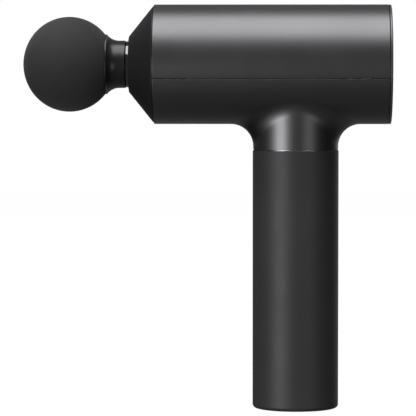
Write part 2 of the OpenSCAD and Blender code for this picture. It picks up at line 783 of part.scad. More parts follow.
// Two rubber rings hold the stem in the socket
ring_xs = [plunger_front_x + 10, plunger_front_x + 24];
ring_section_r = 0.78;
ring_pitch_r = socket_d / 2 - ring_section_r - 0.04;
module stem_rings() {
    color([0.5, 0.1, 0.08]) for (x = ring_xs)
        about_barrel() translate([ring_pitch_r, x]) circle(r = ring_section_r, $fn = 32);
}

// ---- Boards and button -----------------------------------------------------------------

module control_board() {
    color([0.05, 0.25, 0.12]) difference() {
        x_rod(control_x, control_x + board_t, control_r);
        for (a = column_angles)
            x_rod(control_x - 1, control_x + 3, 1.2, column_r * cos(a), column_r * sin(a));
    }
}

module control_parts() {
    rear = control_x + board_t;
    color([0.1, 0.1, 0.1]) {
        d_block([rear, -4, -4], [rear + 1, 4, 4]);
        for (k = [0:2], s = [0, 1])
            d_block([rear, -13.5 + 10 * k, -17 + 7 * s], [rear + 1.1, -7.5 + 10 * k, -12 + 7 * s]);
        x_rod(rear, rear + 7, 4.5, -11, 9);
    }
    color([0.9, 0.9, 0.88]) {
        d_block([control_x - 3, -5.5, -16], [control_x, 5.5, -11]);
        d_block([control_x - 3, -5.5, -22.7], [control_x, 5.5, -18.5]);
        d_block([rear, -5, 12], [rear + 2.4, 5, 16]);
    }
}

module control_screws() {
    color([0.7, 0.7, 0.72]) for (a = column_angles) {
        y = column_r * cos(a);
        z = column_r * sin(a);
        x_rod(control_x - 4, control_x + board_t, 0.88, y, z);
        difference() {
            x_rod(control_x + board_t, control_x + board_t + 1.2, 1.8, y, z);
            x_rod(control_x + board_t + 0.5, control_x + 5, 0.8, y, z, $fn = 6);
        }
    }
}

module motor_leads() {
    color([0.75, 0.6, 0.1]) for (s = [-1, 0, 1]) wire([
        [11.2, s * 1.9, axis_h - 13.95], [12.5, s * 1.9, axis_h - 13.5], [15, s * 2, axis_h - 13.6],
        [19, s * 2.2, axis_h - 13.8], [23, s * 2.8, axis_h - 13.6],
        [control_x - 3, s * 3, axis_h - 13.4]], 0.6);
}

// A flat ribbon in a slack S between the two boards
module panel_lead() {
    x0 = control_x + board_t + 2.4;
    x1 = panel_x;
    function sway(t) = [x0 + (x1 - x0) * t, 14 - 5.5 * t + 2.2 * sin(360 * t)];
    steps = 12;
    color([0.85, 0.85, 0.8]) translate([0, 4, axis_h]) rotate([90, 0, 0]) linear_extrude(8)
        polygon(concat([for (k = [0:steps]) sway(k / steps) + [0, 0.2]],
            [for (k = [steps:-1:0]) sway(k / steps) - [0, 0.2]]));
}

module panel_board() {
    color([0.05, 0.25, 0.12]) difference() {
        x_rod(panel_x, panel_x + board_t, panel_r);
        for (a = post_angles)
            x_rod(panel_x - 1, panel_x + 3, 1.1, post_r * cos(a), post_r * sin(a));
    }
}

module panel_lights() {
    color([0.9, 0.9, 0.8]) for (a = light_angles) translate([panel_x + board_t, 0, axis_h]) rotate([a, 0, 0])
        translate([0, light_d / 2 - 0.9, -1.1]) cube([1, 1.8, 2.2]);
}

module panel_screws() {
    color([0.7, 0.7, 0.72]) for (a = post_angles) {
        y = post_r * cos(a);
        z = post_r * sin(a);
        x_rod(panel_x, panel_x + 4.6, 0.88, y, z);
        difference() {
            x_rod(panel_x - 1.2, panel_x, 1.8, y, z);
            x_rod(panel_x - 2, panel_x - 0.5, 0.8, y, z, $fn = 6);
        }
    }
}

stem_r = 1.7;
button_front_x = cap_x - 4;
module switch_body() {
    x = panel_x + board_t;
    color([0.75, 0.75, 0.76]) difference() {
        d_block([x, -3.1, -3.1], [x + 1.7, 3.1, 3.1]);
        x_rod(x + 0.3, x + 2, stem_r + 0.1);
    }
}

module switch_stem() {
    rest_x = panel_x + board_t + 0.4 + button_travel;
    color([0.15, 0.15, 0.15]) x_rod(rest_x, button_front_x - 0.5, stem_r);
}

// The button's flange catches behind the cap, and its middle is dished for a fingertip
module speed_button() {
    dish_r = 60;
    top_x = cap_x + 0.4;
    color([0.09, 0.09, 0.09]) difference() {
        union() {
            about_barrel() polygon(concat([[0, button_front_x], [button_d / 2 + 1.2, button_front_x],
                [button_d / 2 + 1.2, button_front_x + 1.3], [button_d / 2, button_front_x + 1.3]],
                arc([button_d / 2 - 0.5, top_x - 0.5], 0.5, 0, 90, 4), [[0, top_x]]));
            x_rod(button_front_x - 0.5, button_front_x + 0.5, 2.2);
        }
        translate([top_x - 0.6 + dish_r, 0, axis_h]) sphere(r = dish_r, $fn = 200);
    }
}

// ---- The assembly ----------------------------------------------------------------------

upper_shell();
lower_shell();
nose_cone();
nose_seal();
rear_cap();
light_ring();
handle_core();
grip_sleeve();
base_cap();
usb_port();
charge_board();
charge_screws();
charge_leads();
battery_cells();
cell_holders();
cell_strips();
battery_board();
battery_leads();
drive_frame();
guide_bushes();
front_damper();
rear_damper();
frame_grommets();
frame_screws();
motor_mount();
motor_screws();
bearing_outer_rings();
stator_core();
stator_coils();
motor_leads();
control_board();
control_parts();
control_screws();
panel_lead();
panel_board();
panel_lights();
panel_screws();
switch_body();
rotor_can();
rotor_magnets();
motor_shaft();
bearing_inner_rings();
crank_disc();
crank_grub_screw();
bearing_balls();
ball_cages();
con_rod();
rod_bearing();
rod_bush();
crank_pin();
plunger();
wrist_pin();
pin_clips();
foam_ball();
head_stem();
stem_rings();
speed_button();
switch_stem();
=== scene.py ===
import json
import math

import bmesh
import bpy
import numpy as np
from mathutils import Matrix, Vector


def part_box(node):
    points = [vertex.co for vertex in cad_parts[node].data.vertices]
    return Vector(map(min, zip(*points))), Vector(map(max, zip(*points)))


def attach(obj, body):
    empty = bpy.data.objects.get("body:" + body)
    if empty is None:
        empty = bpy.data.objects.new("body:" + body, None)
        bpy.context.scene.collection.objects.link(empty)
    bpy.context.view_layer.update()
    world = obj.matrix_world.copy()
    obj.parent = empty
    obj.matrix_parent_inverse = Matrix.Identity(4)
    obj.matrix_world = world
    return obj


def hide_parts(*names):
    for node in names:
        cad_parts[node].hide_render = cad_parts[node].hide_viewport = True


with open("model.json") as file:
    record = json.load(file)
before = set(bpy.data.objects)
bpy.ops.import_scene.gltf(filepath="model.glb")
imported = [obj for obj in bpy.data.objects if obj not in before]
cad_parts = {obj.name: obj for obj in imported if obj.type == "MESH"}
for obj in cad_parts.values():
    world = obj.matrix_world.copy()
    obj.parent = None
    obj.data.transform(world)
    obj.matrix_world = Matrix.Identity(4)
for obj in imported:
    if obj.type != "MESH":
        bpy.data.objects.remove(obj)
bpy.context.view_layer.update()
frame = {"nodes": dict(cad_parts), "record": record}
MM = 0.001


# ---- Studio ------------------------------------------------------------------------------
# A white sweep without a visible corner. A wide softbox hangs over the barrel, a bright and a
# dim one stand to the left of the camera, a weak one to its right and a weaker one behind.
# The room itself is dim, so that dark round surfaces show one soft highlight.

def aim(obj, place, target):
    """Puts obj at place and turns its -Z axis towards target, both in metres."""
    obj.location = place
    obj.rotation_euler = (Vector(target) - Vector(place)).to_track_quat("-Z", "Y").to_euler()


def softbox(name, place, target, width, height, radiance):
    """A rectangular area light. Its power is radiance times area times pi."""
    data = bpy.data.lights.new(name, "AREA")
    data.shape = "RECTANGLE"
    data.size, data.size_y = width, height
    data.energy = radiance * width * height * math.pi
    obj = bpy.data.objects.new(name, data)
    bpy.context.scene.collection.objects.link(obj)
    aim(obj, place, target)
    obj.visible_camera = False
    return obj


camera_data = bpy.data.cameras.new("camera")
camera_data.sensor_width = 36
camera_data.lens = 246.5
camera = bpy.data.objects.new("camera", camera_data)
bpy.context.scene.collection.objects.link(camera)
aim(camera, (-0.0078, -1.433, 0.1714), (-0.0441, 0, 0.1007))
bpy.context.scene.camera = camera
bpy.context.scene.view_settings.view_transform = "Standard"

barrel_middle = (-0.012, 0, 0.173)
handle_middle = (0, 0, 0.08)
softbox("light_over", (-0.02, -0.25, 1.35), barrel_middle, 1.5, 1.16, 8.0)
softbox("light_left", (-0.97, -1.1, 0.0), handle_middle, 0.72, 0.36, 24.0)
softbox("light_low", (-0.97, -1.1, -0.6), handle_middle, 0.9, 0.8, 1.6)
softbox("light_right", (0.95, -1.3, -0.08), handle_middle, 0.7, 0.62, 3.0)
softbox("light_rear", (0.8, 1.5, 0.35), handle_middle, 0.6, 1.3, 0.6)


def node(tree, kind, place, **settings):
    """A shader node of that kind. Settings that name an input set its value."""
    made = tree.nodes.new(kind)
    made.location = place
    for key, value in settings.items():
        if hasattr(made, key):
            setattr(made, key, value)
        else:
            made.inputs[key.replace("_", " ")].default_value = value
    return made


# Two flags darken the room: one low on the left, for the underside of the nose, and one far
# to the right, for the right edge of the handle.
world = bpy.data.worlds.new("studio")
bpy.context.scene.world = world
world.use_nodes = True
tree = world.node_tree
tree.nodes.clear()
room = node(tree, "ShaderNodeBackground", (0, 0), Color=(1, 1, 1, 1))
where = node(tree, "ShaderNodeTexCoord", (-800, 0))
split = node(tree, "ShaderNodeSeparateXYZ", (-600, 0))
flag_side = node(tree, "ShaderNodeMapRange", (-400, 100), From_Min=-0.2, From_Max=-0.5)
flag_low = node(tree, "ShaderNodeMapRange", (-400, -150), From_Min=0.05, From_Max=-0.2)
flag = node(tree, "ShaderNodeMath", (-200, 0), operation="MULTIPLY")
dim = node(tree, "ShaderNodeMapRange", (-100, -200), To_Min=0.23, To_Max=0.02)
tree.links.new(where.outputs["Generated"], split.inputs[0])
tree.links.new(split.outputs["X"], flag_side.inputs["Value"])
tree.links.new(split.outputs["Z"], flag_low.inputs["Value"])
tree.links.new(flag_side.outputs[0], flag.inputs[0])
tree.links.new(flag_low.outputs[0], flag.inputs[1])
tree.links.new(flag.outputs[0], dim.inputs["Value"])
flag_right = node(tree, "ShaderNodeMapRange", (-100, -450), From_Min=0.55, From_Max=0.9,
                  To_Min=1, To_Max=0.25)
both = node(tree, "ShaderNodeMath", (-50, -300), operation="MULTIPLY")
tree.links.new(split.outputs["X"], flag_right.inputs["Value"])
tree.links.new(dim.outputs[0], both.inputs[0])
tree.links.new(flag_right.outputs[0], both.inputs[1])
tree.links.new(both.outputs[0], room.inputs["Strength"])
sweep = node(tree, "ShaderNodeBackground", (0, -150), Color=(1, 1, 1, 1), Strength=1.0)
ray = node(tree, "ShaderNodeLightPath", (0, 300))
seen = node(tree, "ShaderNodeMixShader", (200, 0))
out = node(tree, "ShaderNodeOutputWorld", (400, 0))
tree.links.new(ray.outputs["Is Camera Ray"], seen.inputs[0])
tree.links.new(room.outputs[0], seen.inputs[1])
tree.links.new(sweep.outputs[0], seen.inputs[2])
tree.links.new(seen.outputs[0], out.inputs[0])

# The floor is a round white sheet that only the camera sees, so it casts no light back up.
floor_mesh = bpy.data.meshes.new("floor")
rim = np.linspace(0, 2 * np.pi, 96, endpoint=False)
floor_points = np.stack([2.5 * np.cos(rim), 2.5 * np.sin(rim), np.full(96, -0.0003)], axis=1)
floor_mesh.from_pydata(floor_points, [], [list(range(96))])
floor = bpy.data.objects.new("floor", floor_mesh)
bpy.context.scene.collection.objects.link(floor)
floor.visible_glossy = False
floor.visible_diffuse = False
floor.visible_shadow = False
floor_paint = bpy.data.materials.new("floor_white")
floor_paint.use_nodes = True
tree = floor_paint.node_tree
tree.nodes.clear()
matt = node(tree, "ShaderNodeBsdfDiffuse", (0, 0), Color=(0.05, 0.05, 0.05, 1))
glow = node(tree, "ShaderNodeEmission", (0, -150), Color=(1, 1, 1, 1), Strength=0.97)
lit = node(tree, "ShaderNodeAddShader", (200, 0))
clear = node(tree, "ShaderNodeBsdfTransparent", (200, -150))
side = node(tree, "ShaderNodeNewGeometry", (200, 250))
face = node(tree, "ShaderNodeMixShader", (400, 0))
out = node(tree, "ShaderNodeOutputMaterial", (600, 0))
tree.links.new(matt.outputs[0], lit.inputs[0])
tree.links.new(glow.outputs[0], lit.inputs[1])
tree.links.new(side.outputs["Backfacing"], face.inputs[0])
tree.links.new(lit.outputs[0], face.inputs[1])
tree.links.new(clear.outputs[0], face.inputs[2])
tree.links.new(face.outputs[0], out.inputs[0])
floor_mesh.materials.append(floor_paint)


# ---- Upper shell -------------------------------------------------------------------------
# The top of the barrel: one aluminium shell, bent round and anodised dark grey over a fine
# blast. It meets the lower shell along a straight seam below the middle of the barrel, and
# every edge of it is broken with a small radius.

def effect(name, inputs, outputs):
    """A node group with number inputs and outputs; inputs maps each name to its usual value."""
    group = bpy.data.node_groups.new(name, "ShaderNodeTree")
    for key, value in inputs.items():
        group.interface.new_socket(key, in_out="INPUT", socket_type="NodeSocketFloat").default_value = value
    for key in outputs:
        group.interface.new_socket(key, in_out="OUTPUT", socket_type="NodeSocketFloat")
    return group, group.nodes.new("NodeGroupInput"), group.nodes.new("NodeGroupOutput")


def math_node(tree, operation, first, second, place=(0, 0)):
    """A Math node. Each operand is a number or an output socket."""
    made = node(tree, "ShaderNodeMath", place, operation=operation)
    for slot, value in enumerate((first, second)):
        if isinstance(value, (int, float)):
            made.inputs[slot].default_value = value
        else:
            tree.links.new(value, made.inputs[slot])
    return made.outputs[0]


# Grain: fine even noise on the object's own coordinates. Size is in metres; Height runs 0 to 1.
grain, enter, leave = effect("grain", {"Size": 0.0003, "Stretch X": 1, "Stretch Z": 1}, ["Height"])
where = node(grain, "ShaderNodeTexCoord", (-600, 0))
ratio = node(grain, "ShaderNodeCombineXYZ", (-600, -250), Y=1.0)
pull = node(grain, "ShaderNodeVectorMath", (-400, 0), operation="DIVIDE")
speck = node(grain, "ShaderNodeTexNoise", (-200, 0), Detail=2.0, Roughness=0.6)
grain.links.new(enter.outputs["Stretch X"], ratio.inputs["X"])
grain.links.new(enter.outputs["Stretch Z"], ratio.inputs["Z"])
grain.links.new(where.outputs["Object"], pull.inputs[0])
grain.links.new(ratio.outputs[0], pull.inputs[1])
grain.links.new(pull.outputs[0], speck.inputs["Vector"])
grain.links.new(math_node(grain, "DIVIDE", 1.0, enter.outputs["Size"], (-400, -250)), speck.inputs["Scale"])
grain.links.new(speck.outputs[0], leave.inputs["Height"])

# Cloud: slow, faint drift, as handling and uneven finish leave on a surface. Low and High
# are the values between which Value drifts.
cloud, enter, leave = effect("cloud", {"Size": 0.02, "Low": 0.3, "High": 0.4}, ["Value"])
where = node(cloud, "ShaderNodeTexCoord", (-600, 0))
drift = node(cloud, "ShaderNodeTexNoise", (-200, 0), Detail=3.0, Roughness=0.55, Distortion=0.4)
span = node(cloud, "ShaderNodeMapRange", (0, 0), From_Min=0.3, From_Max=0.7)
cloud.links.new(where.outputs["Object"], drift.inputs["Vector"])
cloud.links.new(math_node(cloud, "DIVIDE", 1.0, enter.outputs["Size"], (-400, -200)), drift.inputs["Scale"])
cloud.links.new(drift.outputs[0], span.inputs["Value"])
cloud.links.new(enter.outputs["Low"], span.inputs["To Min"])
cloud.links.new(enter.outputs["High"], span.inputs["To Max"])
cloud.links.new(span.outputs[0], leave.inputs["Value"])


def use(tree, group, place, **values):
    """Places a node group in a material's tree with its own values."""
    made = tree.nodes.new("ShaderNodeGroup")
    made.node_tree = group
    made.location = place
    for key, value in values.items():
        made.inputs[key.replace("_", " ")].default_value = value
    return made


def finish(name, colour, rough, metal=0.0, grain_size=0.0003, grain_depth=0.01, drift=0.06,
           drift_size=0.025, tone=0.08, stretch=(1.0, 1.0), **plain):
    """A material with a grain in its relief, and a slow drift in its roughness and its tone.
    grain_depth is in millimetres; drift and tone are how far roughness and brightness vary."""
    material = bpy.data.materials.new(name)
    material.use_nodes = True
    tree = material.node_tree
    shader = tree.nodes["Principled BSDF"]
    shader.inputs["Metallic"].default_value = metal
    for key, value in plain.items():
        shader.inputs[key.replace("_", " ")].default_value = value
    relief = use(tree, grain, (-700, -300), Size=grain_size, Stretch_X=stretch[0], Stretch_Z=stretch[1])
    bump = node(tree, "ShaderNodeBump", (-400, -300), Strength=1.0, Distance=grain_depth * MM)
    tree.links.new(relief.outputs["Height"], bump.inputs["Height"])
    tree.links.new(bump.outputs["Normal"], shader.inputs["Normal"])
    gloss = use(tree, cloud, (-700, 0), Size=drift_size, Low=rough - drift / 2, High=rough + drift / 2)
    tree.links.new(gloss.outputs["Value"], shader.inputs["Roughness"])
    shade = use(tree, cloud, (-700, 300), Size=drift_size * 1.7, Low=1 - tone, High=1 + tone)
    dark = math_node(tree, "MULTIPLY_ADD", relief.outputs["Height"], tone, (-500, 150))
    tree.nodes[-1].inputs[2].default_value = -tone / 2
    level = math_node(tree, "ADD", shade.outputs["Value"], dark, (-300, 200))
    paint = node(tree, "ShaderNodeVectorMath", (-150, 300), operation="SCALE")
    paint.inputs[0].default_value = colour
    tree.links.new(level, paint.inputs["Scale"])
    tree.links.new(paint.outputs[0], shader.inputs["Base Color"])
    return material


def grid_faces(rows, columns, closed):
    """Corner numbers of the quads of a grid whose columns run round and meet. closed also
    joins the last row to the first."""
    row = np.arange(rows if closed else rows - 1)[:, None]
    column = np.arange(columns)[None, :]
    after, right = (row + 1) % rows, (column + 1) % columns
    corners = [row * columns + column, row * columns + right,
               after * columns + right, after * columns + column]
    return np.stack(np.broadcast_arrays(*corners), axis=-1).reshape(-1, 4)


def make_piece(name, surfaces, material, slot, body, *nodes):
    """One object of closed surfaces, each given as (points [row, column, xyz] in mm, closed).
    A row whose points all meet, such as a pole, is welded to one point."""
    grids = [np.asarray(points, float) for points, closed in surfaces]
    counts = [grid.shape[0] * grid.shape[1] for grid in grids]
    starts = np.concatenate([[0], np.cumsum(counts)[:-1]])
    points = np.concatenate([grid.reshape(-1, 3) for grid in grids]) * MM
    faces = np.concatenate([grid_faces(*grid.shape[:2], closed) + start
                            for grid, (_, closed), start in zip(grids, surfaces, starts)])
    mesh = bpy.data.meshes.new(name)
    mesh.from_pydata(points, [], faces)
    work = bmesh.new()
    work.from_mesh(mesh)
    bmesh.ops.remove_doubles(work, verts=work.verts, dist=1e-7)
    bmesh.ops.recalc_face_normals(work, faces=work.faces)
    for each in work.faces:
        each.smooth = True
    work.to_mesh(mesh)
    work.free()
    mesh.materials.append(material)
    obj = bpy.data.objects.new(name, mesh)
    bpy.context.scene.collection.objects.link(obj)
    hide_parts(*nodes)
    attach(obj, body)
    return obj


def rounded(corners, radii, steps=5, closed=True):
    """An outline with its corners replaced by arcs that touch both sides. corners are (x, y)
    and radii match them; 0 keeps a corner. A point just past each arc keeps the side flat."""
    corners = np.asarray(corners, float)
    count = len(corners)
    out = []
    for i, (corner, radius) in enumerate(zip(corners, radii)):
        if radius == 0 or (not closed and i in (0, count - 1)):
            out.append(corner[None])
            continue
        back = corners[i - 1] - corner
        ahead = corners[(i + 1) % count] - corner
        back_l, ahead_l = np.linalg.norm(back), np.linalg.norm(ahead)
        back, ahead = back / back_l, ahead / ahead_l
        half = math.acos(np.clip(back @ ahead, -1, 1)) / 2
        reach = min(radius / math.tan(half), 0.49 * back_l, 0.49 * ahead_l)
        radius = reach * math.tan(half)
        centre = corner + (back + ahead) / np.linalg.norm(back + ahead) * radius / math.sin(half)
        share = np.linspace(0, 1, steps + 1)[:, None]
        first, last = corner + back * reach - centre, corner + ahead * reach - centre
        turn = math.pi - 2 * half
        swing = (np.sin((1 - share) * turn) * first + np.sin(share * turn) * last) / math.sin(turn)
        hold = 0.12 * radius + 0.01
        before = corner + back * min(reach + hold, 0.495 * back_l)
        beyond = corner + ahead * min(reach + hold, 0.495 * ahead_l)
        out += [before[None], centre + swing, beyond[None]]
    return np.concatenate(out)


low, high = (np.array(corner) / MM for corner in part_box("upper_shell"))
barrel_r = high[1]
axis_z = high[2] - barrel_r
shell_x0, shell_x1 = low[0], high[0]
wall = 2.6
bore_r = barrel_r - wall
seam_z = low[2] - axis_z                       # the upper shell's edge, from the barrel's axis
edge_r = 0.25
TURNS = 192

shell_grey = finish("shell_grey", (0.061, 0.061, 0.063), 0.4, metal=1.0, grain_size=0.00022,
                    grain_depth=0.0016, drift=0.03, tone=0.03)

outline = rounded([(shell_x0, barrel_r), (shell_x1, barrel_r), (shell_x1, bore_r), (shell_x0, bore_r)],
                  [edge_r] * 4)


def seam_rows(profile, middle, seam, radius, steps=4):
    """Rows of [x, y, z] points of a shell that is cut by the plane z = seam under the barrel's
    axis. Row k is the profile drawn in towards the wall's middle by radius * (1 - sin b) at
    radius * (1 - cos b) over the plane, which rounds the wall's edges; between the two edges
    the rows fan out evenly round the axis."""
    bend = np.linspace(0, math.pi / 2, steps + 1)
    inset = radius * (1 - np.sin(bend))
    lift = radius * (1 - np.cos(bend))
    half = (profile[:, 1].max() - profile[:, 1].min()) / 2
    length = (profile[:, 0].min() + half, profile[:, 0].max() - half)
    spine = np.stack([np.clip(profile[:, 0], *length), np.full(len(profile), middle)], axis=1)
    towards = (spine - profile) / half
    edges = [profile + towards * (inset[k] / np.abs(towards).max(axis=1, keepdims=True))
             for k in range(steps + 1)]
    edges = [spine] + edges
    lift = np.concatenate([[0], lift])
    low_rows = [(edge, np.arcsin((seam + up) / edge[:, 1])) for edge, up in zip(edges, lift)]
    start = low_rows[-1][1]
    fan = [(profile, start + (math.pi - 2 * start) * share) for share in np.linspace(0, 1, 98)[1:-1]]
    high_rows = [(edge, math.pi - angle) for edge, angle in reversed(low_rows)]
    rows = [np.stack([edge[:, 0], edge[:, 1] * np.cos(angle), edge[:, 1] * np.sin(angle) + axis_z], axis=1)
            for edge, angle in low_rows + fan + high_rows]
    return np.array(rows)


make_piece("barrel_upper", [(seam_rows(outline, (barrel_r + bore_r) / 2, seam_z, 0.16), False)],
           shell_grey, "shell_grey", "housing", "upper_shell")


# ---- Lower shell -------------------------------------------------------------------------
# The underside of the barrel and the root of the handle in one casting, finished like the
# upper shell. A ball rolled into the corner between the two cylinders gives the fillet.

low, high = (np.array(corner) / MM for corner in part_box("lower_shell"))
root_low = low[2]
lower_seam = seam_z - 0.24
root_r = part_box("grip_sleeve")[1].x / MM - 0.24
fillet = 11.2
socket_r = root_r - 1.36
root_bore_r = socket_r - 1.1
step_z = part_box("handle_core")[1].z / MM + 0.1


def on_barrel(x, angle, radius):
    """A point on a cylinder round the barrel's axis; angle is 0 straight down."""
    return np.stack([x, radius * np.sin(angle), axis_z - radius * np.cos(angle)], axis=-1)


def boundary(count, inset, radius):
    """Points round the edge of the barrel's lower half, as (x, angle) on a cylinder: the
    rectangle between the front, the rear and the seams, drawn in by inset. They are spread
    evenly along the rectangle, starting at the middle of the rear, with one at each corner."""
    top = math.acos(-(lower_seam - inset) / radius)
    half = barrel_r * math.acos(-lower_seam / barrel_r)
    sides = [(shell_x1, 0), (shell_x1, half), (shell_x0, half), (shell_x0, -half),
             (shell_x1, -half), (shell_x1, 0)]
    share = [count // 8, count // 8 * 2, count // 8 * 2, count // 8 * 2, count // 8]
    walk = [np.linspace(sides[k], sides[k + 1], share[k], endpoint=False) for k in range(5)]
    spots = np.concatenate(walk)
    x = np.clip(spots[:, 0], shell_x0 + inset, shell_x1 - inset)
    angle = np.clip(spots[:, 1] / half * top, -top, top)
    return x, angle, np.arctan2(spots[:, 1], spots[:, 0])


COLUMNS = 256
around = boundary(COLUMNS, 0, barrel_r)[2]
cos, sin = np.cos(around), np.sin(around)
# The rolling ball touches the root on one side and the barrel on the other. Its centre is as
# far from the handle's axis as root_r + fillet, and from the barrel's as barrel_r + fillet.
centre_x, centre_y = (root_r + fillet) * cos, (root_r + fillet) * sin
centre = np.stack([centre_x, centre_y, axis_z - np.sqrt((barrel_r + fillet) ** 2 - centre_y ** 2)], axis=1)
to_root = np.stack([-cos, -sin, np.zeros(COLUMNS)], axis=1)
to_barrel = np.stack([np.zeros(COLUMNS), -centre[:, 1], axis_z - centre[:, 2]], axis=1)
to_barrel /= np.linalg.norm(to_barrel, axis=1, keepdims=True)
turn = np.arccos((to_root * to_barrel).sum(axis=1))[:, None]


def ring(radius, z):
    """A level circle round the handle's axis, one point for each column."""
    return np.stack([radius * cos, radius * sin, np.full(COLUMNS, z)], axis=1)


rows = [ring(socket_r + 0.3, root_low), ring(root_r - 0.35, root_low)]
bend = np.linspace(0, math.pi / 2, 5)
rows += [ring(root_r - 0.3 * (1 - math.sin(b)), root_low + 0.3 * (1 - math.cos(b))) for b in bend]
rows += [ring(root_r, root_low + 0.4)]
foot = centre + fillet * to_root
rows += [ring(root_r, root_low) * (1 - s) + foot * s for s in (0.2, 0.5, 0.8)]
rows += [centre + fillet * (np.sin((1 - s) * turn) * to_root + np.sin(s * turn) * to_barrel) / np.sin(turn)
         for s in np.linspace(0, 1, 25)]
foot_x = centre[:, 0]
foot_angle = np.arctan2(centre[:, 1], axis_z - centre[:, 2])
flat_x, flat_angle, _ = boundary(COLUMNS, edge_r, barrel_r)
for s in np.concatenate([np.linspace(0, 1, 16)[1:-1], [0.995, 1.0]]):
    rows.append(on_barrel(foot_x * (1 - s) + flat_x * s, foot_angle * (1 - s) + flat_angle * s, barrel_r))
for b in bend[::-1][1:]:
    x, angle, _ = boundary(COLUMNS, edge_r * (1 - math.cos(b)), barrel_r - edge_r * (1 - math.sin(b)))
    rows.append(on_barrel(x, angle, barrel_r - edge_r * (1 - math.sin(b))))
inner_x, inner_angle, _ = boundary(COLUMNS, 0, bore_r)
rows.append(on_barrel(inner_x, inner_angle, bore_r))
mouth_y = root_bore_r * sin
mouth_angle = np.arcsin(mouth_y / bore_r)
for s in np.linspace(0, 1, 9)[1:]:
    rows.append(on_barrel(inner_x * (1 - s) + root_bore_r * cos * s,
                          inner_angle * (1 - s) + mouth_angle * s, bore_r))
rows += [ring(root_bore_r, step_z), ring(socket_r, step_z), ring(socket_r, root_low + 0.3)]
make_piece("barrel_lower", [(np.array(rows), True)], shell_grey, "shell_grey", "housing", "lower_shell")


# ---- Nose --------------------------------------------------------------------------------
# The tapered front of the barrel, moulded in black plastic with a fine matte texture. It
# plugs into both shells and leaves a hair-wide joint against them. A rubber seal inside it
# wipes the plunger.

def about_barrel(profile, turns=TURNS):
    """A profile of (x, radius) points turned round the barrel's axis."""
    angle = np.linspace(0, 2 * math.pi, turns, endpoint=False)
    x = np.broadcast_to(profile[:, :1], (len(profile), turns))
    return np.stack([x, profile[:, 1:] * np.cos(angle), profile[:, 1:] * np.sin(angle) + axis_z], axis=-1)


low, high = (np.array(corner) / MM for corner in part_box("nose_cone"))
nose_x = low[0]
base_x = shell_x0 - 0.24
hole_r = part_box("plunger")[1].y / MM + 0.6
face_r = 14.02
nose_rim_r = barrel_r - 0.9                    # the nose's rim stands a little inside the shells
nose_inner_r = bore_r - 2.2
seal_r = 14
seal_x0, seal_x1 = nose_x + 1.7, nose_x + 4.7
nose_black = finish("nose_black", (0.004, 0.004, 0.0041), 0.5, grain_size=0.00025, grain_depth=0.004,
                    drift=0.05, tone=0.08, Specular_IOR_Level=0.22)
nose = rounded([(nose_x, hole_r), (nose_x, face_r), (base_x - 0.34, nose_rim_r), (base_x, nose_rim_r),
                (base_x, bore_r - 0.1), (high[0], bore_r - 0.1), (high[0], nose_inner_r),
                (base_x - 1.2, nose_inner_r), (seal_x1, seal_r + 2.9), (seal_x1, seal_r),
                (seal_x0, seal_r), (seal_x0, hole_r)],
               [0.25, 0.9, 0.5, 0.1, 0.1, 0.3, 0.3, 0.5, 0.5, 0.1, 0.1, 0.1])
make_piece("nose", [(about_barrel(nose), True)], nose_black, "nose_black", "housing", "nose_cone")


# ---- Head --------------------------------------------------------------------------------
# The flared fitting behind the ball is one black moulding with a satin face: a thin lip
# that the ball is bonded to, a trumpet-shaped neck, and a stem that plugs into the plunger.

low, high = (np.array(corner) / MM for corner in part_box("head_stem"))
ball_low = np.array(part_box("foam_ball")[0]) / MM
ball_high = np.array(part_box("foam_ball")[1]) / MM
lip_x = ball_high[0]
lip_r = high[1]
neck_r = 11.9
flare = 8.0                                    # the radius of the trumpet's curve
lip_l = 0.82
neck_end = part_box("plunger")[0].x / MM - 0.05
drop = lip_r - 0.3 - neck_r
start = math.acos((flare - drop) / flare)
flare_x = lip_x + lip_l + flare * math.sin(start)
bend = start * (1 - np.linspace(0, 1, 15))
trumpet = np.stack([flare_x - flare * np.sin(bend), neck_r + flare * (1 - np.cos(bend))], axis=1)
stem_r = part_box("stem_rings")[1].y / MM - 0.11
ring_low, ring_high = (corner.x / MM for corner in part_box("stem_rings"))
grooves = [ring_low + 0.79, ring_high - 0.79]
groove = [(at + side * 1.0, stem_r - depth) for at in grooves for side, depth in
          ((-1, 0), (-1, 1.47), (1, 1.47), (1, 0))]
spigot_r = 9.5                                 # the plug that holds the ball
lip = rounded([(low[0], 0), (low[0], spigot_r), (lip_x + 0.02, spigot_r), (lip_x + 0.02, lip_r),
               (lip_x + lip_l, lip_r), tuple(trumpet[0])], [0, 1.0, 0.1, 0.18, 0.18, 0], closed=False)
tail = rounded([tuple(trumpet[-1]), (neck_end, neck_r), (neck_end, stem_r), *groove, (high[0], stem_r),
                (high[0], 0)], [0, 0.35, 0.15] + [0.12] * 8 + [1.2, 0], closed=False)
head_black = finish("head_black", (0.004, 0.004, 0.0041), 0.32, grain_size=0.0004, grain_depth=0.001,
                    drift=0.05, tone=0.05, Specular_IOR_Level=0.24)
make_piece("head_fitting", [(about_barrel(np.concatenate([lip[:-1], trumpet, tail[1:]])), False)],
           head_black, "head_black", "head", "head_stem")

